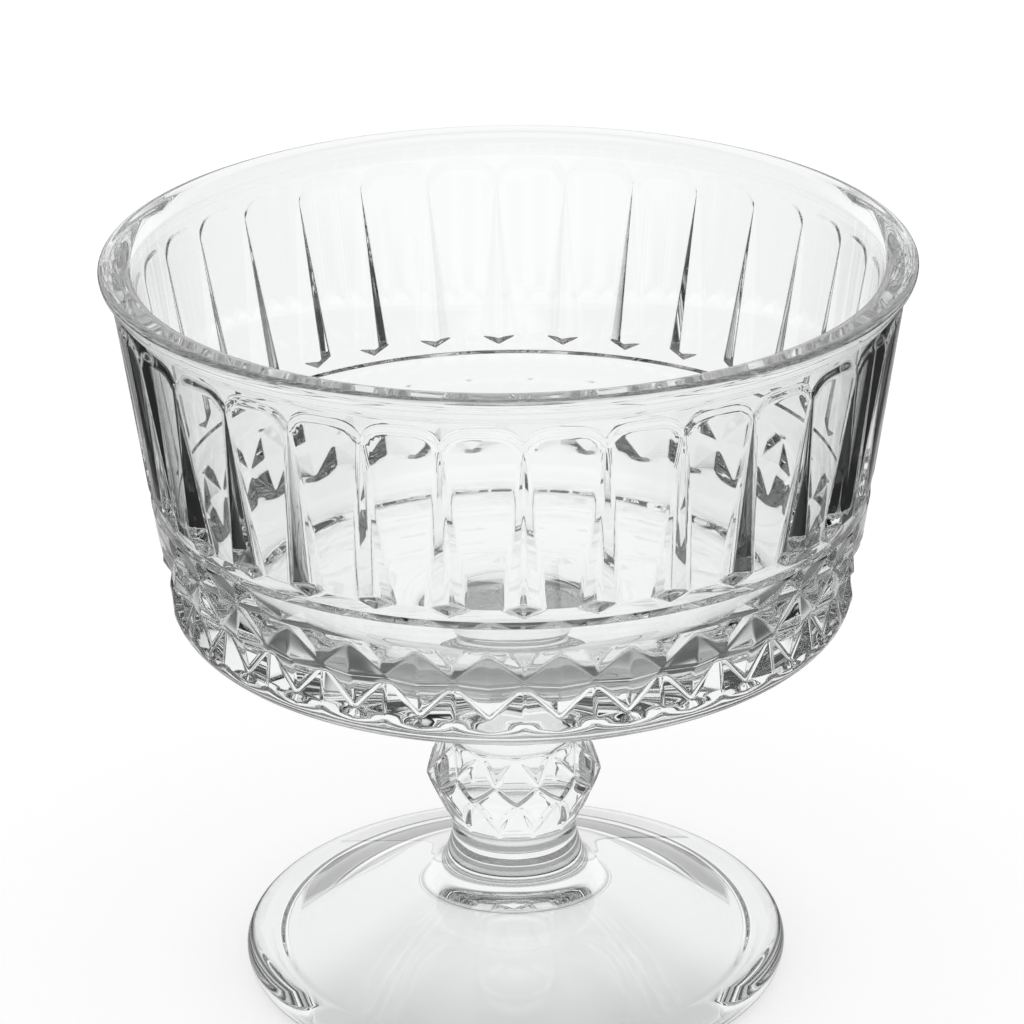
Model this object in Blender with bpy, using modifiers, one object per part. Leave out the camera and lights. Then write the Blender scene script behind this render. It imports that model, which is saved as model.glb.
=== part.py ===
"""Footed ice cream cup in clear pressed glass.

Four glass pieces stand on one vertical axis: a foot, the collar that flares out of it,
a faceted knop, and the bowl with fluted panels above a band of cut diamonds.
The origin is the middle of the foot's resting ring, +Z is up, and lengths are in metres.
"""
import math

import bmesh
import bpy

# Foot: a low cone with a rolled edge, hollow underneath, that stands on a ring
FOOT_RADIUS = 0.0385
FOOT_EDGE_THICKNESS = 0.0056
FOOT_RISE = 0.0118
REST_RING_WIDTH = 0.0028
RECESS_DEPTH = 0.0012
RECESS_SLOPE = 0.0016
RECESS_RISE = 0.0080
RECESS_BOW = 1.7

# Collar: the flare between the foot and the knop
WAIST_RADIUS = 0.0088
FLARE_HEIGHT = 0.0053
FLARE_REACH = 0.00125
COLLAR_SEAT_RADIUS = 0.0120
COLLAR_LIP_RADIUS = 0.0092
COLLAR_LIP_HEIGHT = 0.0024

# Knop: flat facets between staggered rings of corners
KNOP_SIDES = 12
KNOP_BASE_RADIUS = 0.0092
KNOP_GIRDLE_RADIUS = 0.0124
KNOP_TOP_RADIUS = 0.0097
KNOP_GIRDLE_HEIGHT = 0.0063
KNOP_SHOULDER_RISE = 0.0030
KNOP_CROWN_RISE = 0.0031

# Bowl: neck and underside
NECK_RADIUS = 0.0082
NECK_FOOT_RADIUS = 0.0092
NECK_LENGTH = 0.0015
NECK_FLARE_HEIGHT = 0.0157
NECK_FLARE_REACH = 0.0012
UNDERSIDE_RISE = 0.0003
CORNER_HEIGHT = 0.0060
CORNER_WIDTH = 0.0090

# Bowl: wall, from the bottom of the diamonds to the rim
BAND_FOOT_RADIUS = 0.0474
WALL_LEAN = 0.141
LOWER_DIAMOND_HEIGHT = 0.0055
UPPER_DIAMOND_HEIGHT = 0.0048
RING_HEIGHT = 0.0040
RING_BEVEL = 0.0005
RING_FLANK = 0.0008
RING_STEP = 0.0002
PLAIN_BAND_HEIGHT = 0.0002
CUSP_LENGTH = 0.0017
GROOVE_LENGTH = 0.0238
PANEL_TOP_HEIGHT = 0.0028
ARCH_HEIGHT = 0.0014
RIM_RADIUS = 0.0552
RIM_RISE = 0.0040
RIM_LIP_WIDTH = 0.0010
RIM_LIP_HEIGHT = 0.0008
RIM_INNER_WIDTH = 0.0021
RIM_INNER_HEIGHT = 0.0016

# Bowl: inside
WALL_THICKNESS = 0.0034
FLOOR_THICKNESS = 0.0055
INNER_CORNER_WIDTH = 0.0200
INNER_CORNER_HEIGHT = 0.0180

# Bowl: cuts in the outside of the wall
FLUTES = 32
BORDER_DEPTH = 0.0004
HEM_DEPTH = 0.0004
GROOVE_DEPTH = 0.0017
GROOVE_WIDTH = 0.0058
GROOVE_TIP_WIDTH = 0.0005
RING_DEPTH = 0.0006
DIAMOND_DEPTH = 0.0006

# Seam left between two fused pieces
SEAM = 0.0003

# How finely round shapes are faceted: steps round the axis, and points along each curve
FOOT_STEPS = 64
COLLAR_STEPS = 48
COLUMNS_PER_FLUTE = 4
FOOT_TOP_POINTS = 6
FOOT_EDGE_POINTS = 7
RECESS_POINTS = 4
FLARE_POINTS = 7
INNER_CORNER_POINTS = 6
RIM_POINTS = 4
CORNER_POINTS = 4
UNDERSIDE_POINTS = 9
MERGE_DISTANCE = 0.00001
ROUND_ANGLE = 40
CUT_ANGLE = 20

# Glass
GLASS_COLOUR = (0.93, 0.95, 0.95, 1.0)
GLASS_ROUGHNESS = 0.03
GLASS_IOR = 1.5


def clear_scene():
    """Remove what the new file starts with."""
    for thing in list(bpy.data.objects):
        bpy.data.objects.remove(thing, do_unlink=True)


def glass(name):
    """Clear, fire-polished glass."""
    material = bpy.data.materials.new(name)
    material.use_nodes = True
    shader = material.node_tree.nodes["Principled BSDF"]
    shader.inputs["Base Color"].default_value = GLASS_COLOUR
    shader.inputs["Roughness"].default_value = GLASS_ROUGHNESS
    shader.inputs["Metallic"].default_value = 0.0
    shader.inputs["IOR"].default_value = GLASS_IOR
    shader.inputs["Transmission Weight"].default_value = 1.0
    return material


def add_piece(name, mesh, height, axis, collection):
    """Place one glass piece on the cup's axis, with its own base at the given height."""
    piece = bpy.data.objects.new(name, mesh)
    piece.location = (0.0, 0.0, height)
    piece.parent = axis
    collection.objects.link(piece)
    mesh.materials.clear()
    mesh.materials.append(glass(name + "_glass"))
    return piece


def turned_mesh(name, profile, steps):
    """Turn a profile of (radius, height) points round the axis into a closed mesh."""
    mesh = bpy.data.meshes.new(name)
    points = [(radius, 0.0, height) for radius, height in profile]
    edges = [(index, index + 1) for index in range(len(points) - 1)]
    mesh.from_pydata(points, edges, [])
    blank = bpy.data.objects.new(name + "_blank", mesh)
    bpy.context.scene.collection.objects.link(blank)
    screw = blank.modifiers.new("turn", "SCREW")
    screw.axis = "Z"
    screw.steps = steps
    screw.render_steps = steps
    screw.use_merge_vertices = True
    screw.merge_threshold = MERGE_DISTANCE
    bpy.context.view_layer.update()
    turned = bpy.data.meshes.new_from_object(blank.evaluated_get(bpy.context.evaluated_depsgraph_get()))
    turned.name = name
    bpy.data.objects.remove(blank, do_unlink=True)
    return turned


def smooth(mesh, angle):
    """Shade round surfaces smooth and keep edges sharper than the angle."""
    mesh.shade_smooth()
    mesh.set_sharp_from_angle(angle=math.radians(angle))


def arc(centre, width, height, start, end, count):
    """Points on an elliptical arc, angles in degrees measured from +radius towards +height."""
    points = []
    for index in range(count):
        angle = math.radians(start + (end - start) * index / (count - 1))
        points.append((centre[0] + width * math.cos(angle), centre[1] + height * math.sin(angle)))
    return points


def foot_top(radius):
    """Height of the foot's upper surface, which sweeps up into the waist of the stem."""
    edge = FOOT_RADIUS - FOOT_EDGE_THICKNESS / 2
    cone = FOOT_RISE * (1 - radius / edge)
    flare = FLARE_HEIGHT * math.exp((WAIST_RADIUS - radius) / FLARE_REACH)
    return FOOT_EDGE_THICKNESS + cone + flare


def spread(start, end, count):
    """Evenly spaced values from start to end."""
    return [start + (end - start) * index / (count - 1) for index in range(count)]


def make_foot():
    """Low cone with a flat seat for the collar, a rolled edge, and a hollow underneath."""
    roll = FOOT_EDGE_THICKNESS / 2
    edge = FOOT_RADIUS - roll
    recess = edge - REST_RING_WIDTH
    recess_top = recess - RECESS_SLOPE
    profile = [(0.0, foot_top(COLLAR_SEAT_RADIUS))]
    for radius in spread(COLLAR_SEAT_RADIUS, edge, FOOT_TOP_POINTS)[:-1]:
        profile.append((radius, foot_top(radius)))
    profile += arc((edge, roll), roll, roll, 90, -90, FOOT_EDGE_POINTS)
    profile += [(recess, 0.0), (recess_top, RECESS_DEPTH)]
    for radius in spread(recess_top, 0.0, RECESS_POINTS)[1:]:
        profile.append((radius, RECESS_DEPTH + RECESS_RISE * (1 - (radius / recess_top) ** RECESS_BOW)))
    mesh = turned_mesh("foot", profile, FOOT_STEPS)
    smooth(mesh, ROUND_ANGLE)
    return mesh


def make_collar():
    """Flare from the foot's seat in to the waist, with a short lip under the knop."""
    seat = foot_top(COLLAR_SEAT_RADIUS)
    waist = foot_top(WAIST_RADIUS) - seat
    lip = waist + COLLAR_LIP_HEIGHT
    profile = [(0.0, lip), (COLLAR_LIP_RADIUS, lip)]
    for radius in spread(WAIST_RADIUS, COLLAR_SEAT_RADIUS, FLARE_POINTS):
        profile.append((radius, foot_top(radius) - seat))
    profile.append((0.0, 0.0))
    mesh = turned_mesh("stem_collar", profile, COLLAR_STEPS)
    smooth(mesh, ROUND_ANGLE)
    return mesh, lip


def knop_ring(radius, height, offset):
    """One ring of the knop's corners, turned by a share of the spacing."""
    spacing = 2 * math.pi / KNOP_SIDES
    corners = []
    for side in range(KNOP_SIDES):
        turn = (side + offset) * spacing
        corners.append((radius * math.cos(turn), radius * math.sin(turn), height))
    return corners


def make_knop():
    """Faceted knop: the hull of staggered rings, so each diamond between them is flat."""
    shoulder = KNOP_GIRDLE_HEIGHT + KNOP_SHOULDER_RISE
    top = shoulder + KNOP_CROWN_RISE
    share = KNOP_SHOULDER_RISE / (KNOP_SHOULDER_RISE + KNOP_CROWN_RISE)
    middle = KNOP_GIRDLE_RADIUS + (KNOP_TOP_RADIUS - KNOP_GIRDLE_RADIUS) * share
    shoulder_radius = middle / math.cos(math.pi / KNOP_SIDES)
    rings = [
        (KNOP_BASE_RADIUS, 0.0, 0.5),
        (KNOP_GIRDLE_RADIUS, KNOP_GIRDLE_HEIGHT, 0.0),
        (shoulder_radius, shoulder, 0.5),
        (KNOP_TOP_RADIUS, top, 0.0),
    ]
    shape = bmesh.new()
    for ring in rings:
        for corner in knop_ring(*ring):
            shape.verts.new(corner)
    bmesh.ops.convex_hull(shape, input=shape.verts)
    bmesh.ops.dissolve_limit(shape, angle_limit=math.radians(1), verts=shape.verts, edges=shape.edges)
    bmesh.ops.recalc_face_normals(shape, faces=shape.faces)
    mesh = bpy.data.meshes.new("stem_knop")
    shape.to_mesh(mesh)
    shape.free()
    return mesh, top


def bowl_levels():
    """Heights of the bowl's features above the bottom of its neck."""
    level = {}
    level["base"] = NECK_LENGTH + NECK_FLARE_HEIGHT + UNDERSIDE_RISE
    level["floor"] = level["base"] + FLOOR_THICKNESS
    level["diamond_foot"] = level["base"] + CORNER_HEIGHT
    level["diamond_middle"] = level["diamond_foot"] + LOWER_DIAMOND_HEIGHT
    level["diamond_top"] = level["diamond_middle"] + UPPER_DIAMOND_HEIGHT
    level["ring_top"] = level["diamond_top"] + RING_HEIGHT
    level["ring_valley"] = level["ring_top"] + RING_FLANK
    level["ring_lip"] = level["ring_valley"] + RING_STEP
    level["cusp"] = level["ring_lip"] + PLAIN_BAND_HEIGHT
    level["groove_wide"] = level["cusp"] + CUSP_LENGTH
    level["groove_tip"] = level["groove_wide"] + GROOVE_LENGTH
    level["wall_top"] = level["groove_tip"] + PANEL_TOP_HEIGHT
    level["arch"] = level["wall_top"] - ARCH_HEIGHT
    level["rim"] = level["wall_top"] + RIM_RISE
    return level


def wall_radius(height, level):
    """Radius of the uncut outer wall, a straight cone."""
    return BAND_FOOT_RADIUS + WALL_LEAN * (height - level["diamond_foot"])


def underside(radius, level):
    """Height of the bowl's underside, which sweeps down into the neck."""
    base_radius = BAND_FOOT_RADIUS - CORNER_WIDTH
    dome = UNDERSIDE_RISE * (radius ** 2 - base_radius ** 2) / (base_radius ** 2 - NECK_RADIUS ** 2)
    flare = NECK_FLARE_HEIGHT * math.exp((NECK_RADIUS - radius) / NECK_FLARE_REACH)
    return level["base"] + dome - flare


def wall_rows(level):
    """Each row of points down the outer wall: its height and the kind of cut it carries."""
    half_upper = (level["diamond_top"] + level["diamond_middle"]) / 2
    half_lower = (level["diamond_middle"] + level["diamond_foot"]) / 2
    return [
        (level["wall_top"], border_cut),
        (level["arch"], arch_cut),
        (level["groove_tip"], tip_cut),
        (level["groove_wide"], groove_cut),
        (level["cusp"], hem_cut),
        (level["ring_lip"], hem_cut),
        (level["ring_valley"], ring_cut),
        (level["ring_top"], plain_cut),
        (level["diamond_top"] + RING_BEVEL, plain_cut),
        (level["diamond_top"], diamond_cut(0.0)),
        (half_upper, diamond_cut(0.5)),
        (level["diamond_middle"], diamond_cut(1.0)),
        (half_lower, diamond_cut(1.5)),
        (level["diamond_foot"], diamond_cut(2.0)),
    ]


def plain_cut(column):
    """No cut: the column stays at its even spacing."""
    return 0.0, None


def border_cut(column):
    """Border under the rim, which lies a little behind the panels."""
    return BORDER_DEPTH, None


def arch_cut(column):
    """Top of a panel: the border reaches down between two panels as a short post."""
    depth = (BORDER_DEPTH, 0.0, 0.0, 0.0)[column]
    return depth, None


def tip_cut(column):
    """Where the grooves begin as points between two panels."""
    return 0.0, GROOVE_TIP_WIDTH / 2


def groove_cut(column):
    """Widest place of a groove, with the panel's foot beside it."""
    depth = (GROOVE_DEPTH, 0.0, 0.0, 0.0)[column]
    return depth, GROOVE_WIDTH / 2


def hem_cut(column):
    """Bevel all round, from the panels' feet in to the ring."""
    return HEM_DEPTH, None


def ring_cut(column):
    """Narrow groove all round, above the plain ring that tops the diamonds."""
    return RING_DEPTH, None


def diamond_cut(row):
    """Pyramids on a diagonal lattice: row 0 is the band's top, 1 its middle and 2 its foot."""
    def cut(column):
        across = abs(column - 2) / 2
        height = abs(across - row) if row <= 1 else abs(across + row - 2)
        return DIAMOND_DEPTH * (1 - height), None
    return cut


def carve_wall(shape, level):
    """Sink the grooves, panels, ring and diamonds into the turned wall."""
    spacing = 2 * math.pi / (FLUTES * COLUMNS_PER_FLUTE)
    depth_layer = shape.verts.layers.float.new("cut_depth")
    carved = set()
    for height, cut in wall_rows(level):
        radius = wall_radius(height, level)
        for vert in shape.verts:
            away = math.hypot(vert.co.x, vert.co.y) - radius
            if abs(vert.co.z - height) > MERGE_DISTANCE or abs(away) > MERGE_DISTANCE:
                continue
            step = round(math.atan2(vert.co.y, vert.co.x) / spacing)
            column = step % COLUMNS_PER_FLUTE
            depth, half_width = cut(column)
            turn = step * spacing
            if half_width is not None and column in (1, 3):
                side = 1 if column == 1 else -1
                turn += side * (half_width / radius - spacing)
            vert.co.x = (radius - depth) * math.cos(turn)
            vert.co.y = (radius - depth) * math.sin(turn)
            vert[depth_layer] = depth
            carved.add(vert)
    for face in list(shape.faces):
        if len(face.verts) == 4 and all(vert in carved for vert in face.verts):
            corners = list(face.verts)
            even = corners[0][depth_layer] + corners[2][depth_layer]
            odd = corners[1][depth_layer] + corners[3][depth_layer]
            first = 0 if even >= odd else 1
            bmesh.utils.face_split(face, corners[first], corners[first + 2])
    shape.verts.layers.float.remove(depth_layer)


def make_bowl():
    """Bowl with its neck: a turned blank whose outer wall is then cut."""
    level = bowl_levels()
    lip = (RIM_RADIUS - RIM_LIP_WIDTH, level["rim"] - RIM_LIP_HEIGHT)
    rim_inside = level["rim"] - RIM_INNER_HEIGHT
    rim_start = wall_radius(rim_inside, level) - WALL_THICKNESS
    corner_top = level["floor"] + INNER_CORNER_HEIGHT
    inner_wall = wall_radius(corner_top, level) - WALL_THICKNESS
    corner_centre = (inner_wall - INNER_CORNER_WIDTH, corner_top)
    base_radius = BAND_FOOT_RADIUS - CORNER_WIDTH
    wall_corner = (base_radius, level["diamond_foot"])
    profile = [(0.0, level["floor"])]
    profile += arc(corner_centre, INNER_CORNER_WIDTH, INNER_CORNER_HEIGHT, -90, 0, INNER_CORNER_POINTS)
    rim_centre = (rim_start + RIM_INNER_WIDTH, rim_inside)
    profile += arc(rim_centre, RIM_INNER_WIDTH, RIM_INNER_HEIGHT, 180, 90, RIM_POINTS)
    profile += arc(lip, RIM_LIP_WIDTH, RIM_LIP_HEIGHT, 90, 0, RIM_POINTS)
    profile.append((lip[0], (lip[1] + level["wall_top"]) / 2))
    profile += [(wall_radius(height, level), height) for height, cut in wall_rows(level)]
    profile += arc(wall_corner, CORNER_WIDTH, CORNER_HEIGHT, 0, -90, CORNER_POINTS)[1:-1]
    for share in spread(1.0, 0.0, UNDERSIDE_POINTS):
        radius = NECK_RADIUS + (base_radius - NECK_RADIUS) * share ** 2.5
        profile.append((radius, underside(radius, level)))
    profile += [(NECK_FOOT_RADIUS, 0.0), (0.0, 0.0)]
    mesh = turned_mesh("bowl", profile, FLUTES * COLUMNS_PER_FLUTE)
    shape = bmesh.new()
    shape.from_mesh(mesh)
    carve_wall(shape, level)
    shape.to_mesh(mesh)
    shape.free()
    smooth(mesh, CUT_ANGLE)
    return mesh


def main():
    clear_scene()
    cup = bpy.data.collections.new("ice_cream_cup")
    bpy.context.scene.collection.children.link(cup)
    axis = bpy.data.objects.new("cup_axis", None)
    cup.objects.link(axis)

    add_piece("foot", make_foot(), 0.0, axis, cup)
    collar_mesh, collar_height = make_collar()
    collar_base = foot_top(COLLAR_SEAT_RADIUS) + SEAM
    add_piece("stem_collar", collar_mesh, collar_base, axis, cup)
    knop_mesh, knop_height = make_knop()
    knop_base = collar_base + collar_height + SEAM
    add_piece("stem_knop", knop_mesh, knop_base, axis, cup)
    bowl_base = knop_base + knop_height + SEAM
    add_piece("bowl", make_bowl(), bowl_base, axis, cup)


main()
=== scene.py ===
import math

import bpy
import numpy as np
from mathutils import Euler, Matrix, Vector


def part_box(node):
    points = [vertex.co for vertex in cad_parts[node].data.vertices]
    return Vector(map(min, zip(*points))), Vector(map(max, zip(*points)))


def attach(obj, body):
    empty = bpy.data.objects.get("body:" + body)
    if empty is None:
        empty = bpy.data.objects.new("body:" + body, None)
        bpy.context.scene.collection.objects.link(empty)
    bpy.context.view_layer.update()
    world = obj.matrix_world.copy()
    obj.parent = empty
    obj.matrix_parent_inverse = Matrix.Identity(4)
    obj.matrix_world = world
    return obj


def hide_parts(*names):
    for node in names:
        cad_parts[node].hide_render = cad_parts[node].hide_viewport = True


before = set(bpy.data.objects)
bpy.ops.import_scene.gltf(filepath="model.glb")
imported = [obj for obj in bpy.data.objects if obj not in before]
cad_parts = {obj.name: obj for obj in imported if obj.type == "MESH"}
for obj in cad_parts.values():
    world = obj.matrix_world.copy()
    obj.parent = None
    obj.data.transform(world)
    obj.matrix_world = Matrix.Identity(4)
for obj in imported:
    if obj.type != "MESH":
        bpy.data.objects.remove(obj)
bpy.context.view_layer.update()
print("frame loaded, nodes:", sorted(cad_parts))

mm = 0.001


# seams: each pair of fused pieces meets in the middle of the gap that the solids leave
def seamBetween(lowerNode, upperNode):
    return (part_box(lowerNode)[1][2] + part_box(upperNode)[0][2]) / 2


collarSeam = seamBetween("stem_collar", "stem_knop")
knopSeam = seamBetween("stem_knop", "bowl")
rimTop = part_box("bowl")[1][2]


# small maths
def ease(x):
    t = np.clip(x, 0.0, 1.0)
    return t * t * (3 - 2 * t)


def softMin(values, rounding):
    values = np.array(values)
    low = values.min(axis=0)
    return low - rounding * np.log(np.exp((low - values) / rounding).sum(axis=0))


def evenTurns(count):
    return np.arange(count) * 2 * math.pi / count


def arcPoints(centre, size, startDegrees, endDegrees, count):
    turn = np.radians(np.linspace(startDegrees, endDegrees, count))
    return list(zip(centre[0] + size[0] * np.cos(turn), centre[1] + size[1] * np.sin(turn)))


def bendPoints(start, pull, settle, end, count):
    t = np.linspace(0, 1, count)[:, None]
    weights = ((1 - t) ** 3, 3 * t * (1 - t) ** 2, 3 * t * t * (1 - t), t ** 3)
    corners = [np.array(corner) for corner in (start, pull, settle, end)]
    return [tuple(point) for point in sum(weight * corner for weight, corner in zip(weights, corners))]


# one closed skin from rows of points, ends closed by a pole or by a seam disc
def skinMesh(name, rows, startCap, endCap, turned):
    columns = len(rows[0])
    points = np.concatenate(rows)
    count = len(rows)
    index = np.arange(count * columns).reshape(count, columns)
    nextOne = np.roll(index, -1, axis=1)
    quads = np.stack([index[:-1], index[1:], nextOne[1:], nextOne[:-1]], axis=-1).reshape(-1, 4)
    turned = turned.ravel()
    quads[turned] = np.roll(quads[turned], -1, axis=1)   # splits a quad along its other diagonal
    startPoint = points[:columns].mean(axis=0)
    endPoint = points[-columns:].mean(axis=0)
    points = np.concatenate([points, [startPoint, endPoint]])
    startFan = np.stack([np.full(columns, count * columns), index[0], nextOne[0]], axis=-1)
    endFan = np.stack([np.full(columns, count * columns + 1), nextOne[-1], index[-1]], axis=-1)
    faces = quads.tolist() + startFan.tolist() + endFan.tolist()
    mesh = bpy.data.meshes.new(name)
    mesh.from_pydata(points.tolist(), [], faces)
    slots = np.zeros(len(faces), dtype=np.int32)
    slots[len(quads):len(quads) + columns] = 1 if startCap == "seam" else 0
    slots[len(quads) + columns:] = 1 if endCap == "seam" else 0
    mesh.polygons.foreach_set("material_index", slots)
    mesh.shade_smooth()
    ends = np.zeros(len(mesh.edges) * 2, dtype=np.int32)
    mesh.edges.foreach_get("vertices", ends)
    ring = ends.reshape(-1, 2) // columns
    crisp = np.zeros(len(mesh.edges), dtype=bool)
    if startCap == "seam":
        crisp |= (ring == 0).all(axis=1)
    if endCap == "seam":
        crisp |= (ring == count - 1).all(axis=1)
    sharp = mesh.attributes.new("sharp_edge", "BOOLEAN", "EDGE")
    sharp.data.foreach_set("value", crisp)
    mesh.update()
    piece = bpy.data.objects.new(name, mesh)
    bpy.context.scene.collection.objects.link(piece)
    return piece


def ringRow(radius, height, turns):
    radius = np.broadcast_to(radius, turns.shape)
    return np.stack([radius * np.cos(turns), radius * np.sin(turns), np.full(turns.shape, height)], axis=-1)


# bowl: sizes as on the drawing, heights counted down from the rim
bowl = {
    "flutes": 32,
    "columnsPerFlute": 24,
    "rimRadius": 55.2 * mm,
    "rimLip": (1.0 * mm, 0.8 * mm),       # rounding of the rim outside and inside
    "rimInner": (2.1 * mm, 1.6 * mm),
    "lipDrop": 1.2 * mm,                  # how the rim's underside leaves the lip and meets the wall
    "lipSettle": (0.15 * mm, 1.1 * mm),
    "rimBelow": 4.0 * mm,         # rim top to the border over the panels
    "wallLap": 0.3 * mm,          # the straight wall begins this far over the border
    "wallLean": 0.141,
    "wallThickness": 3.4 * mm,
    "bandFootRadius": 47.4 * mm,  # outer radius at the foot of the diamonds
    "bandFootBelow": 47.8 * mm,   # rim top to the foot of the diamonds
    "lowerDiamond": 5.5 * mm,
    "upperDiamond": 4.8 * mm,
    "ringHeight": 4.0 * mm,
    "ringBevel": 0.5 * mm,
    "ringDepth": 0.6 * mm,
    "ringFlank": 0.8 * mm,        # the cut ring's flank that faces up
    "ringStep": 0.2 * mm,
    "plainBand": 0.2 * mm,
    "cuspLength": 1.7 * mm,
    "grooveLength": 23.8 * mm,
    "grooveWidth": 5.8 * mm,
    "grooveDepth": 1.7 * mm,
    "grooveLeast": 0.12 * mm,     # the mesh keeps its columns at least this far apart in a groove
    "spreadLength": 3.0 * mm,     # over the grooves' tips the columns spread evenly again
    "borderDepth": 0.28 * mm,     # how far the border over the panels lies behind them
    "borderReach": 4.0 * mm,      # lower than this under the grooves' tips there is no border
    "archBelow": 0.4 * mm,
    "archDrop": 2.2 * mm,
    "archEase": 1.4 * mm,
    "hemDepth": 0.5 * mm,         # bevel from the panels' feet in to the cut ring
    "diamondDepth": 0.9 * mm,
    "upperBevel": 0.65,           # share of a down-pointing diamond that its bevels take
    "lowerBevel": 1.0,
    "stepDepth": 0.7 * mm,        # the lower row starts with a small step under the upper one
    "stepHeight": 0.8 * mm,
    "diamondFade": 2.0 * mm,      # the diamonds run out this far round the bottom corner
    "floorBelow": 48.3 * mm,      # rim top to the inner floor
    "innerCorner": (14.5 * mm, 17.0 * mm),
    "innerBend": (6.5 * mm, 9.0 * mm),    # how far the bend follows the floor and the wall
    "corner": (9.0 * mm, 6.0 * mm),
    "neckRadius": 8.2 * mm,
    "neckFootRadius": 9.2 * mm,
    "neckFlareHeight": 15.7 * mm,
    "neckFlareReach": 1.2 * mm,
    "undersideRise": 0.3 * mm,
}

bandFoot = rimTop - bowl["bandFootBelow"]
diamondMiddle = bandFoot + bowl["lowerDiamond"]
diamondTop = diamondMiddle + bowl["upperDiamond"]
ringTop = diamondTop + bowl["ringHeight"]
ringValley = ringTop + bowl["ringFlank"]
ringLip = ringValley + bowl["ringStep"]
cusp = ringLip + bowl["plainBand"]
grooveWide = cusp + bowl["cuspLength"]
grooveTip = grooveWide + bowl["grooveLength"]
wallTop = rimTop - bowl["rimBelow"]
wallStart = wallTop + bowl["wallLap"]
floorHeight = rimTop - bowl["floorBelow"]
baseRadius = bowl["bandFootRadius"] - bowl["corner"][0]
baseHeight = bandFoot - bowl["corner"][1]
pitch = 2 * math.pi / bowl["flutes"]


def wallRadius(height):
    return bowl["bandFootRadius"] + bowl["wallLean"] * (height - bandFoot)


def innerRadius(height):
    return wallRadius(height) - bowl["wallThickness"]


def grooveHalfWidth(height):
    half = bowl["grooveWidth"] / 2
    if height >= grooveWide:
        return half * (grooveTip - height) / bowl["grooveLength"]
    return half * (height - cusp) / bowl["cuspLength"]


# columns bunch inside the grooves, so that their edges run along the mesh
def columnSpread(height):
    even = 1 / 3
    tight = max(grooveHalfWidth(height), bowl["grooveLeast"]) / (wallRadius(height) * pitch / 2)
    over = ease((grooveTip + bowl["spreadLength"] - height) / bowl["spreadLength"])
    settle = over * ease((height - ringTop) / (cusp - ringTop))
    return even + (tight - even) * float(settle)


def bowlTurns(height):
    count = bowl["columnsPerFlute"]
    across = np.arange(count) / (count / 2)
    across = np.where(across > 1, across - 2, across)   # 0 on a groove, 1 on a panel's middle
    spread = columnSpread(height)
    size = np.abs(across)
    bent = np.where(size < 1 / 3, size * 3 * spread, spread + (size - 1 / 3) * 1.5 * (1 - spread))
    across = np.sign(across) * bent
    flutes = np.arange(bowl["flutes"])[:, None]
    onward = np.where(across < 0, across + 2, across)
    return ((flutes + onward[None, :] / 2) * pitch).ravel(), np.tile(across, bowl["flutes"])


def diamondCut(across, height):
    side = 1 - np.abs(across)    # 0 at a panel's middle, 1 on a groove line
    if height >= diamondMiddle:
        past, bevel = side - (diamondTop - height) / bowl["upperDiamond"], bowl["upperBevel"]
    else:
        past, bevel = 1 - (diamondMiddle - height) / bowl["lowerDiamond"] - side, bowl["lowerBevel"]
    step = min((diamondMiddle - height) / bowl["stepHeight"], (height - bandFoot) / bowl["lowerDiamond"])
    cut = bowl["diamondDepth"] * np.clip(1 - np.where(past > 0, past / bevel, -past), 0, 1)
    return cut + bowl["stepDepth"] * max(step, 0.0)


def borderCut(across, height):
    if height < grooveTip - bowl["borderReach"]:
        hem = (grooveWide - height) / (grooveWide - ringValley)
        return np.full_like(across, bowl["hemDepth"] * min(max(hem, 0.0), 1.0))
    arch = wallTop - bowl["archBelow"] - bowl["archDrop"] * (1 - np.abs(across)) ** 4
    return bowl["borderDepth"] * ease(1 - (arch - height) / bowl["archEase"])


def grooveCut(across, height):
    if not cusp < height < grooveTip:
        return np.zeros_like(across)
    half = grooveHalfWidth(height) / (wallRadius(height) * pitch / 2)
    slope = bowl["grooveDepth"] / (bowl["grooveWidth"] / 2)
    return slope * grooveHalfWidth(height) * np.clip(1 - np.abs(across) / half, 0, 1)


def ringCut(height):
    deep = (height - ringTop) / bowl["ringFlank"]
    if height > ringValley:
        deep = (ringLip - height) / bowl["ringStep"]
    return bowl["ringDepth"] * min(max(deep, 0.0), 1.0)


def wallCut(across, height):
    if height <= diamondTop:
        return diamondCut(across, height)
    bevel = max(1 - (height - diamondTop) / bowl["ringBevel"], 0.0)
    if height <= ringValley:
        return ringCut(height) + diamondCut(across, diamondTop) * bevel
    border = np.maximum(borderCut(across, height), ringCut(height))
    return np.maximum(border, grooveCut(across, height))


# rows down the outer wall, close together wherever a cut bends
def wallHeights():
    ringFoot = diamondTop + bowl["ringBevel"]
    heights = list(np.linspace(wallStart, grooveTip - 1.0 * mm, 16))
    heights += list(np.linspace(grooveTip - 2.5 * mm, grooveWide + 1.5 * mm, 12))
    heights += list(np.linspace(grooveWide + 0.8 * mm, cusp, 18))
    heights += [ringLip + 0.05 * mm, ringLip, ringLip - 0.06 * mm, ringLip - 0.14 * mm]
    heights += [ringValley, ringValley - 0.06 * mm, ringValley - 0.3 * mm]
    heights += [ringTop + 0.3 * mm, ringTop + 0.06 * mm, ringTop]
    heights += list(np.linspace(ringTop - 0.1 * mm, ringFoot + 0.1 * mm, 6))
    heights += [ringFoot, diamondTop + bowl["ringBevel"] / 2, diamondTop + 0.06 * mm]
    half = bowl["columnsPerFlute"] // 2
    heights += list(np.linspace(diamondTop, diamondMiddle, half + 1))
    heights += list(np.linspace(diamondMiddle, bandFoot, half + 1)[1:])
    return heights


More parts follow.
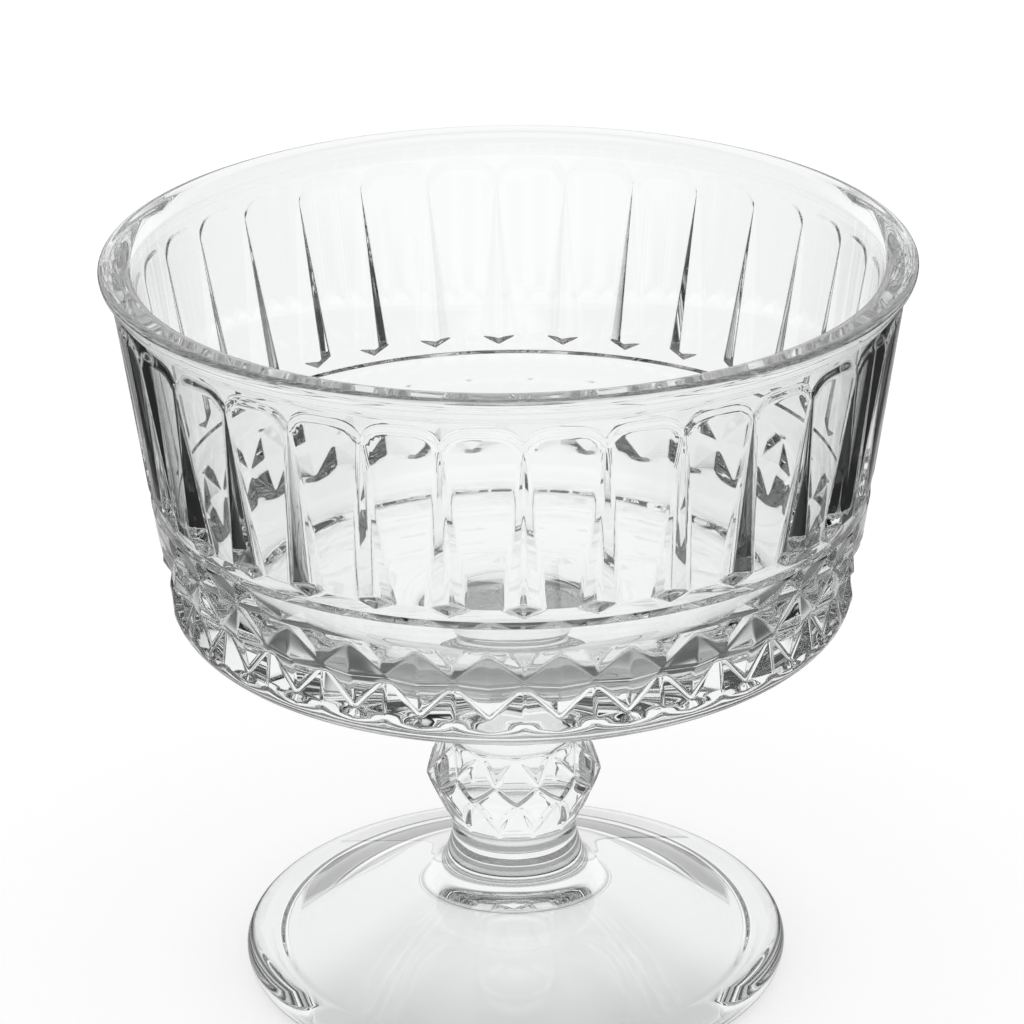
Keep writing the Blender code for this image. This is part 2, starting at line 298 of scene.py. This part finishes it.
def underside(radius):
    span = baseRadius ** 2 - bowl["neckRadius"] ** 2
    dome = bowl["undersideRise"] * (radius ** 2 - baseRadius ** 2) / span
    flare = bowl["neckFlareHeight"] * np.exp((bowl["neckRadius"] - radius) / bowl["neckFlareReach"])
    return baseHeight + dome - flare


# outline of the inside, from the middle of the floor to the rim
def innerOutline():
    cornerTop = floorHeight + bowl["innerCorner"][1]
    wallFoot = (innerRadius(cornerTop), cornerTop)
    floorEdge = wallFoot[0] - bowl["innerCorner"][0]
    along, down = bowl["innerBend"]
    pull = (floorEdge + along, floorHeight)
    settle = (innerRadius(cornerTop - down), cornerTop - down)
    outline = [(floorEdge * share, floorHeight) for share in np.linspace(0.016, 0.96, 9)]
    outline += bendPoints((floorEdge, floorHeight), pull, settle, wallFoot, 30)
    innerTop = rimTop - bowl["rimInner"][1]
    return outline + [(innerRadius(height), height) for height in np.linspace(cornerTop, innerTop, 12)[1:]]


def rimOutline():
    innerTop = rimTop - bowl["rimInner"][1]
    inside = (innerRadius(innerTop) + bowl["rimInner"][0], innerTop)
    lip = (bowl["rimRadius"] - bowl["rimLip"][0], rimTop - bowl["rimLip"][1])
    start, end = (bowl["rimRadius"], lip[1]), (wallRadius(wallStart), wallStart)
    pull = (start[0], start[1] - bowl["lipDrop"])
    settle = (end[0] + bowl["lipSettle"][0], end[1] + bowl["lipSettle"][1])
    outline = arcPoints(inside, bowl["rimInner"], 180, 90, 14)[1:] + arcPoints(lip, bowl["rimLip"], 90, 0, 12)
    return outline + bendPoints(start, pull, settle, end, 14)[1:-1]


def neckOutline():
    neckRadius = bowl["neckRadius"]
    sweep = [neckRadius + (baseRadius - neckRadius) * share ** 1.7 for share in np.linspace(1, 0, 26)[1:]]
    outline = [(radius, underside(radius)) for radius in sweep]
    neckTop = underside(neckRadius)
    for t in np.linspace(0, 1, 8)[1:]:
        radius = neckRadius + (bowl["neckFootRadius"] - neckRadius) * t ** 2
        outline.append((radius, neckTop + (knopSeam - neckTop) * t))
    return outline


def bowlRows():
    even, evenAcross = bowlTurns(rimTop)
    rows = [ringRow(radius, height, even) for radius, height in innerOutline() + rimOutline()]
    for height in wallHeights():
        turns, across = bowlTurns(height)
        rows.append(ringRow(wallRadius(height) - wallCut(across, height), height, turns))
    for radius, height in arcPoints((baseRadius, bandFoot), bowl["corner"], -4, -90, 16):
        fade = 1 - ease((bandFoot - height) / bowl["diamondFade"])
        rows.append(ringRow(radius - diamondCut(evenAcross, bandFoot) * fade, height, even))
    return rows + [ringRow(radius, height, even) for radius, height in neckOutline()]


# quads of the diamonds that are split the other way, so that the cuts run along their edges
def turnedQuads(rows):
    heights = np.array([row[0, 2] for row in rows])
    middle = (heights[:-1] + heights[1:]) / 2
    columns = np.arange(len(rows[0]))
    rightHalf = columns % bowl["columnsPerFlute"] < bowl["columnsPerFlute"] // 2
    outside = np.array([row[0, 0] for row in rows[1:]]) > wallRadius(middle) - bowl["wallThickness"] / 2
    upper = outside & (middle > diamondMiddle) & (middle < diamondTop)
    lower = outside & (middle > bandFoot) & (middle < diamondMiddle)
    return (upper[:, None] & rightHalf[None, :]) | (lower[:, None] & ~rightHalf[None, :])


# knop: slightly hollow facets with softly rounded edges
knop = {
    "sides": 12,
    "columns": 576,
    "rows": 132,
    "baseRadius": 9.2 * mm,
    "girdleRadius": 12.4 * mm,
    "topRadius": 9.7 * mm,
    "girdleHeight": 6.3 * mm,
    "shoulderRise": 3.0 * mm,
    "crownRise": 3.1 * mm,
    "edgeRounding": 0.03 * mm,
    "girdleRounding": 0.35 * mm,  # the diamonds bend over the girdle without an edge
    "girdleLift": 0.22 * mm,
    "hollow": 0.22 * mm,
    "ridgeReach": 0.22 * mm,
    "endReach": 1.0 * mm,         # the hollows run out towards both ends
}


def knopFacets():
    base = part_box("stem_knop")[0][2]
    step = math.pi / knop["sides"]
    flatten = math.cos(step)
    shoulder = knop["girdleHeight"] + knop["shoulderRise"]
    top = shoulder + knop["crownRise"]
    taper = (knop["topRadius"] - knop["girdleRadius"]) * knop["shoulderRise"] / (
        knop["shoulderRise"] + knop["crownRise"])
    shoulderRadius = (knop["girdleRadius"] + taper) / flatten
    lines = [   # facet through two points of the outline, on a corner or between two corners
        ((knop["girdleRadius"], knop["girdleHeight"]), (knop["topRadius"], top), 0),
        ((knop["girdleRadius"] * flatten, knop["girdleHeight"]), (shoulderRadius, shoulder), 1),
        ((shoulderRadius, shoulder), (knop["topRadius"] * flatten, top), 1),
        ((knop["baseRadius"], 0.0), (knop["girdleRadius"] * flatten, knop["girdleHeight"]), 1),
        ((knop["baseRadius"] * flatten, 0.0), (knop["girdleRadius"], knop["girdleHeight"]), 0),
    ]
    facets = []
    for (radiusA, heightA), (radiusB, heightB), between in lines:
        slope = (radiusB - radiusA) / (heightB - heightA)
        facets.append((radiusA, base + heightA, slope, between * step))
    return facets


def knopRows():
    turns = evenTurns(knop["columns"])
    spacing = 2 * math.pi / knop["sides"]
    rows = []
    facets = knopFacets()
    lowest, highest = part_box("stem_knop")[0][2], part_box("stem_knop")[1][2]
    for height in np.linspace(highest, lowest, knop["rows"]):
        reaches = []
        for radius, facetFoot, slope, turn in facets:
            away = (turns - turn + spacing / 2) % spacing - spacing / 2
            reaches.append((radius + slope * (height - facetFoot)) / np.cos(away))
        crown, diamondUpper, shoulder, diamondLower, skirt = reaches
        diamond = softMin([diamondUpper, diamondLower], knop["girdleRounding"]) + knop["girdleLift"]
        reaches = [crown, diamond, shoulder, skirt]
        nearest, second = np.sort(np.array(reaches), axis=0)[:2]
        hollow = knop["hollow"] * ease((second - nearest) / knop["ridgeReach"])
        ending = ease((highest - height) / knop["endReach"]) * ease((height - lowest) / knop["endReach"])
        hollow *= float(ending)
        rows.append(ringRow(softMin(reaches, knop["edgeRounding"]) - hollow, height, turns))
    rows.insert(0, ringRow(bowl["neckFootRadius"], knopSeam, turns))
    rows.append(ringRow(collar["lipRadius"], collarSeam, turns))
    return rows


# collar and foot share one sweeping upper line
collar = {
    "columns": 384,
    "waistRadius": 8.8 * mm,
    "flareHeight": 5.6 * mm,
    "flareReach": 1.25 * mm,
    "lipRadius": 9.1 * mm,
    "seatRadius": 12.0 * mm,
}

foot = {
    "radius": 38.5 * mm,
    "edgeThickness": 5.6 * mm,
    "domeRise": 11.8 * mm,
    "restRing": 2.8 * mm,
    "recessDepth": 1.2 * mm,
    "recessSlope": 1.6 * mm,
    "recessCrown": 8.0 * mm,
    "recessBow": 1.7,
    "recessPole": 0.4 * mm,
}


def footTop(radius):
    edge = foot["radius"] - foot["edgeThickness"] / 2
    dome = foot["domeRise"] * (1 - radius / edge)
    flare = collar["flareHeight"] * np.exp((collar["waistRadius"] - radius) / collar["flareReach"])
    return foot["edgeThickness"] + dome + flare


def collarRows():
    turns = evenTurns(collar["columns"])
    waist = footTop(collar["waistRadius"])
    rows = []
    for t in np.linspace(0, 1, 14):
        radius = collar["waistRadius"] + (collar["lipRadius"] - collar["waistRadius"]) * (1 - t) ** 2
        rows.append(ringRow(radius, collarSeam + (waist - collarSeam) * t, turns))
    for radius in np.linspace(collar["waistRadius"], collar["seatRadius"], 40)[1:]:
        rows.append(ringRow(radius, footTop(radius), turns))
    return rows


def footRows():
    turns = evenTurns(collar["columns"])
    roll = foot["edgeThickness"] / 2
    edge = foot["radius"] - roll
    recess = edge - foot["restRing"]
    recessTop = recess - foot["recessSlope"]
    outline = [(radius, footTop(radius)) for radius in np.linspace(collar["seatRadius"], edge, 30)]
    outline += arcPoints((edge, roll), (roll, roll), 90, -90, 40)[1:]
    for t in np.linspace(0, 1, 6)[1:]:
        outline.append((edge + (recess - edge) * t, 0.0))
    for t in np.linspace(0, 1, 9)[1:]:
        outline.append((recess + (recessTop - recess) * t, foot["recessDepth"] * float(ease(t))))
    for radius in np.linspace(recessTop, foot["recessPole"], 24)[1:]:
        lift = foot["recessCrown"] * (1 - (radius / recessTop) ** foot["recessBow"])
        outline.append((radius, foot["recessDepth"] + lift))
    return [ringRow(radius, height, turns) for radius, height in outline]


# node helpers: a value is either a number or colour, or another node's output
def feed(links, socket, value):
    if isinstance(value, bpy.types.NodeSocket):
        links.new(value, socket)
    else:
        socket.default_value = value


def addMath(nodes, links, operation, first, second):
    node = nodes.new("ShaderNodeMath")
    node.operation = operation
    feed(links, node.inputs[0], first)
    feed(links, node.inputs[1], second)
    return node.outputs[0]


def addProduct(nodes, links, first, *others):
    for other in others:
        first = addMath(nodes, links, "MULTIPLY", first, other)
    return first


def addRamp(nodes, links, value, limits, ends):
    node = nodes.new("ShaderNodeMapRange")
    node.interpolation_type = "SMOOTHSTEP"
    links.new(value, node.inputs["Value"])
    node.inputs["From Min"].default_value, node.inputs["From Max"].default_value = limits
    node.inputs["To Min"].default_value, node.inputs["To Max"].default_value = ends
    return node.outputs["Result"]


def addMix(nodes, links, share, first, second):
    node = nodes.new("ShaderNodeMix")
    node.data_type = "RGBA"
    feed(links, node.inputs["Factor"], share)
    feed(links, node.inputs["A"], first)
    feed(links, node.inputs["B"], second)
    return node.outputs["Result"]


# finishes
glassLook = {
    "tint": (0.985, 0.992, 0.990, 1),
    "deepTint": (0.970, 0.982, 0.978, 1),
    "ior": 1.51,
    "roughness": (0.004, 0.02),
    "roughnessFlow": (0.35, 0.75),   # part of the flow lines' range over which the polish changes
    "flowScale": 45.0,               # faint flow lines left by pressing
    "flowDetail": 2.0,
    "flowHeight": 0.00002,
    "flowStrength": 0.25,
}


def pressedGlass(name):
    material = bpy.data.materials.new(name)
    material.use_nodes = True
    nodes = material.node_tree.nodes
    links = material.node_tree.links
    shader = nodes["Principled BSDF"]
    shader.inputs["IOR"].default_value = glassLook["ior"]
    shader.inputs["Transmission Weight"].default_value = 1.0
    place = nodes.new("ShaderNodeTexCoord")
    flow = nodes.new("ShaderNodeTexNoise")
    flow.inputs["Scale"].default_value = glassLook["flowScale"]
    flow.inputs["Detail"].default_value = glassLook["flowDetail"]
    links.new(place.outputs["Object"], flow.inputs["Vector"])
    tint = addMix(nodes, links, flow.outputs["Fac"], glassLook["tint"], glassLook["deepTint"])
    links.new(tint, shader.inputs["Base Color"])
    polish = nodes.new("ShaderNodeMapRange")
    polish.inputs["From Min"].default_value = glassLook["roughnessFlow"][0]
    polish.inputs["From Max"].default_value = glassLook["roughnessFlow"][1]
    polish.inputs["To Min"].default_value = glassLook["roughness"][0]
    polish.inputs["To Max"].default_value = glassLook["roughness"][1]
    links.new(flow.outputs["Fac"], polish.inputs["Value"])
    links.new(polish.outputs["Result"], shader.inputs["Roughness"])
    ripple = nodes.new("ShaderNodeBump")
    ripple.inputs["Strength"].default_value = glassLook["flowStrength"]
    ripple.inputs["Distance"].default_value = glassLook["flowHeight"]
    links.new(flow.outputs["Fac"], ripple.inputs["Height"])
    links.new(ripple.outputs["Normal"], shader.inputs["Normal"])
    return material


def fusedSeam():
    material = bpy.data.materials.new("fusedSeam")
    material.use_nodes = True
    nodes = material.node_tree.nodes
    clear = nodes.new("ShaderNodeBsdfTransparent")
    material.node_tree.links.new(clear.outputs["BSDF"], nodes["Material Output"].inputs["Surface"])
    return material


seamFinish = fusedSeam()


def addPiece(name, node, rows, startCap, endCap):
    turned = turnedQuads(rows) if node == "bowl" else np.zeros((len(rows) - 1, len(rows[0])), dtype=bool)
    piece = skinMesh(name, rows, startCap, endCap, turned)
    piece.data.materials.append(pressedGlass(name + "Glass"))
    piece.data.materials.append(seamFinish)
    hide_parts(node)
    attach(piece, "root")
    print(name, "made,", len(piece.data.polygons), "faces")
    return piece


addPiece("glassBowl", "bowl", bowlRows(), "pole", "seam")
addPiece("glassKnop", "stem_knop", knopRows(), "seam", "seam")
addPiece("glassCollar", "stem_collar", collarRows(), "seam", "seam")
addPiece("glassFoot", "foot", footRows(), "seam", "pole")


# studio: white table, white wall behind and a soft box overhead
# the glass picks up the dim room between them; in what the glass mirrors the table shows painted shade round
# the cup and painted dark at the left and right, and seen in the glass it shows painted light
studio = {
    "floorSize": 4.0,
    "floorDrop": 0.05 * mm,
    "floorRoughness": 0.9,
    "floorColour": (0.45, 0.45, 0.45, 1),
    "floorGlow": 0.60,
    "throughColour": (0.18, 0.18, 0.18, 1),
    "throughGlow": 0.82,          # stands for the light that the clear glass lets through to the table
    "mirrorTone": (0.80, 0.80, 0.80, 1),
    # painted dark at the sides, seen only in what the glass mirrors
    "paintedSideDark": (0.02, 0.02, 0.021, 1),
    "floorSides": (0.07, 0.14),   # distance to the left or right where the painted dark begins, and where it is full
    "sidesEnd": (0.8, 1.4),       # distance from the middle where that painted dark ends
    # painted shade of the cup, seen only in what the glass mirrors
    "paintedShadeTone": (0.16, 0.16, 0.162, 1),
    "shadeReach": (0.06, 0.16),   # distance from the middle where the painted shade of the cup fades
    "shadeFront": (0.02, 0.08),   # painted shade, laid in front of the cup as if the light came from behind
    "underFoot": (0.036, 0.050),  # nearer than this the table is under the foot, where it keeps some painted light and less painted shade in what the glass mirrors
    "underShare": 0.4,
    "footFront": (-0.030, -0.004),   # painted shade: under the foot's front the painted light seen in the glass is a little weaker
    "footShare": 0.26,
    "skyLight": 1.0,
    "roomTone": (0.07, 0.07, 0.071, 1),
    "wallWidth": (0.30, 0.80),    # the rest are parts of a ray's direction
    "wallHeight": (0.55, 0.75),
    "softBox": (0.85, 0.97),
    "horizon": (0.04, 0.12),
}


def seenInGlass(nodes, links, path):
    mirrored, passing = path.outputs["Is Glossy Ray"], path.outputs["Is Transmission Ray"]
    return addMath(nodes, links, "MAXIMUM", mirrored, passing)


def whitePaper():
    material = bpy.data.materials.new("whitePaper")
    material.use_nodes = True
    nodes = material.node_tree.nodes
    links = material.node_tree.links
    shader = nodes["Principled BSDF"]
    shader.inputs["Roughness"].default_value = studio["floorRoughness"]
    shader.inputs["Specular IOR Level"].default_value = 0.0
    shader.inputs["Emission Color"].default_value = (1, 1, 1, 1)
    path = nodes.new("ShaderNodeLightPath")
    place = nodes.new("ShaderNodeTexCoord")
    parts = nodes.new("ShaderNodeSeparateXYZ")
    links.new(place.outputs["Object"], parts.inputs["Vector"])
    length = nodes.new("ShaderNodeVectorMath")
    length.operation = "LENGTH"
    links.new(place.outputs["Object"], length.inputs[0])
    away = length.outputs["Value"]
    mirrored = addMath(nodes, links, "GREATER_THAN", path.outputs["Glossy Depth"], 0.5)

    # painted into what the glass mirrors: dark at the left and right, and painted shade round the cup
    aside = addMath(nodes, links, "ABSOLUTE", parts.outputs["X"], 0.0)
    dark = addRamp(nodes, links, aside, studio["floorSides"], (0.0, 1.0))
    ended = addRamp(nodes, links, away, studio["sidesEnd"], (1.0, 0.0))
    dark = addProduct(nodes, links, dark, mirrored, ended)
    under = addRamp(nodes, links, away, studio["underFoot"], (studio["underShare"], 0.0))
    unshaded = addMath(nodes, links, "SUBTRACT", 1.0, under)
    # painted shade round the cup and in front of it, weaker under the foot
    near = addRamp(nodes, links, away, studio["shadeReach"], (1.0, 0.0))
    ahead = addRamp(nodes, links, parts.outputs["Y"], studio["shadeFront"], (1.0, 0.0))
    near = addProduct(nodes, links, near, unshaded, ahead, mirrored)
    passing = path.outputs["Is Transmission Ray"]
    # the table's tone changes with the ray to go with the painted light: darker seen through the glass, paler
    # in what the glass mirrors
    tone = addMix(nodes, links, passing, studio["floorColour"], studio["throughColour"])
    tone = addMix(nodes, links, mirrored, tone, studio["mirrorTone"])
    tone = addMix(nodes, links, near, tone, studio["paintedShadeTone"])
    # painted dark at the left and right, only in what the glass mirrors
    tone = addMix(nodes, links, dark, tone, studio["paintedSideDark"])
    links.new(tone, shader.inputs["Base Color"])

    # white background seen straight, and painted light on the table seen in the glass, weaker under the
    # foot's front and dropped from most of what the glass mirrors
    straight = addProduct(nodes, links, path.outputs["Is Camera Ray"], studio["floorGlow"])
    front = addRamp(nodes, links, parts.outputs["Y"], studio["footFront"], (studio["footShare"], 0.0))
    front = addProduct(nodes, links, front, addRamp(nodes, links, away, studio["underFoot"], (1.0, 0.0)))
    passed = addProduct(nodes, links, seenInGlass(nodes, links, path), studio["throughGlow"])
    through = addProduct(nodes, links, passed, addMath(nodes, links, "SUBTRACT", 1.0, front))
    lost = addProduct(nodes, links, unshaded, mirrored)
    kept = addMath(nodes, links, "SUBTRACT", 1.0, lost)
    glow = addProduct(nodes, links, addMath(nodes, links, "MAXIMUM", straight, through), kept)
    links.new(glow, shader.inputs["Emission Strength"])
    return material


def makeFloor():
    half = studio["floorSize"] / 2
    corners = [(-half, -half, 0), (half, -half, 0), (half, half, 0), (-half, half, 0)]
    mesh = bpy.data.meshes.new("tableTop")
    mesh.from_pydata(corners, [], [(0, 1, 2, 3)])
    mesh.materials.append(whitePaper())
    table = bpy.data.objects.new("tableTop", mesh)
    table.location.z = -studio["floorDrop"]
    bpy.context.scene.collection.objects.link(table)


def makeWorld():
    world = bpy.data.worlds.new("studio")
    world.use_nodes = True
    nodes = world.node_tree.nodes
    links = world.node_tree.links
    path = nodes.new("ShaderNodeLightPath")
    place = nodes.new("ShaderNodeTexCoord")
    parts = nodes.new("ShaderNodeSeparateXYZ")
    links.new(place.outputs["Generated"], parts.inputs["Vector"])
    wall = addRamp(nodes, links, parts.outputs["Y"], studio["wallWidth"], (0.0, 1.0))
    below = addRamp(nodes, links, parts.outputs["Z"], studio["wallHeight"], (1.0, 0.0))
    wall = addProduct(nodes, links, wall, below)
    box = addRamp(nodes, links, parts.outputs["Z"], studio["softBox"], (0.0, 1.0))
    low = addRamp(nodes, links, parts.outputs["Z"], studio["horizon"], (1.0, 0.0))
    bright = addMath(nodes, links, "MAXIMUM", addMath(nodes, links, "MAXIMUM", wall, box), low)
    unlit = addMath(nodes, links, "SUBTRACT", 1.0, bright)
    dim = addProduct(nodes, links, seenInGlass(nodes, links, path), unlit)
    sky = addMix(nodes, links, dim, (1, 1, 1, 1), studio["roomTone"])
    links.new(sky, nodes["Background"].inputs["Color"])
    nodes["Background"].inputs["Strength"].default_value = studio["skyLight"]
    bpy.context.scene.world = world


# camera, from a fit to the rim and foot circles of the photograph
cameraFit = {
    "distance": 621.2 * mm,
    "pitch": 23.02,
    "turn": -1.8,
    "roll": -0.644,
    "lookHeight": 68.6 * mm,
    "focalPixels": 4500.0,
    "framePixels": 1024.0,
    "sensor": 36.0,
    "shift": 0.001,
    "clipStart": 0.01,
}


def makeCamera():
    data = bpy.data.cameras.new("camera")
    data.sensor_width = cameraFit["sensor"]
    data.lens = cameraFit["focalPixels"] * cameraFit["sensor"] / cameraFit["framePixels"]
    data.shift_x = cameraFit["shift"]
    data.clip_start = cameraFit["clipStart"]
    camera = bpy.data.objects.new("camera", data)
    rise = math.radians(cameraFit["pitch"])
    turn = math.radians(cameraFit["turn"])
    back = Vector((math.sin(turn) * math.cos(rise), -math.cos(turn) * math.cos(rise), math.sin(rise)))
    camera.location = Vector((0, 0, cameraFit["lookHeight"])) + back * cameraFit["distance"]
    aim = Euler((math.pi / 2 - rise, 0, turn)).to_matrix()
    lean = Euler((0, 0, math.radians(cameraFit["roll"]))).to_matrix()
    camera.rotation_euler = (aim @ lean).to_euler()
    bpy.context.scene.collection.objects.link(camera)
    bpy.context.scene.camera = camera


makeFloor()
makeWorld()
makeCamera()
scene = bpy.context.scene
scene.view_settings.view_transform = "Standard"
scene.cycles.max_bounces = 32
scene.cycles.transmission_bounces = 32
scene.cycles.glossy_bounces = 16
scene.cycles.transparent_max_bounces = 32
print("studio ready")
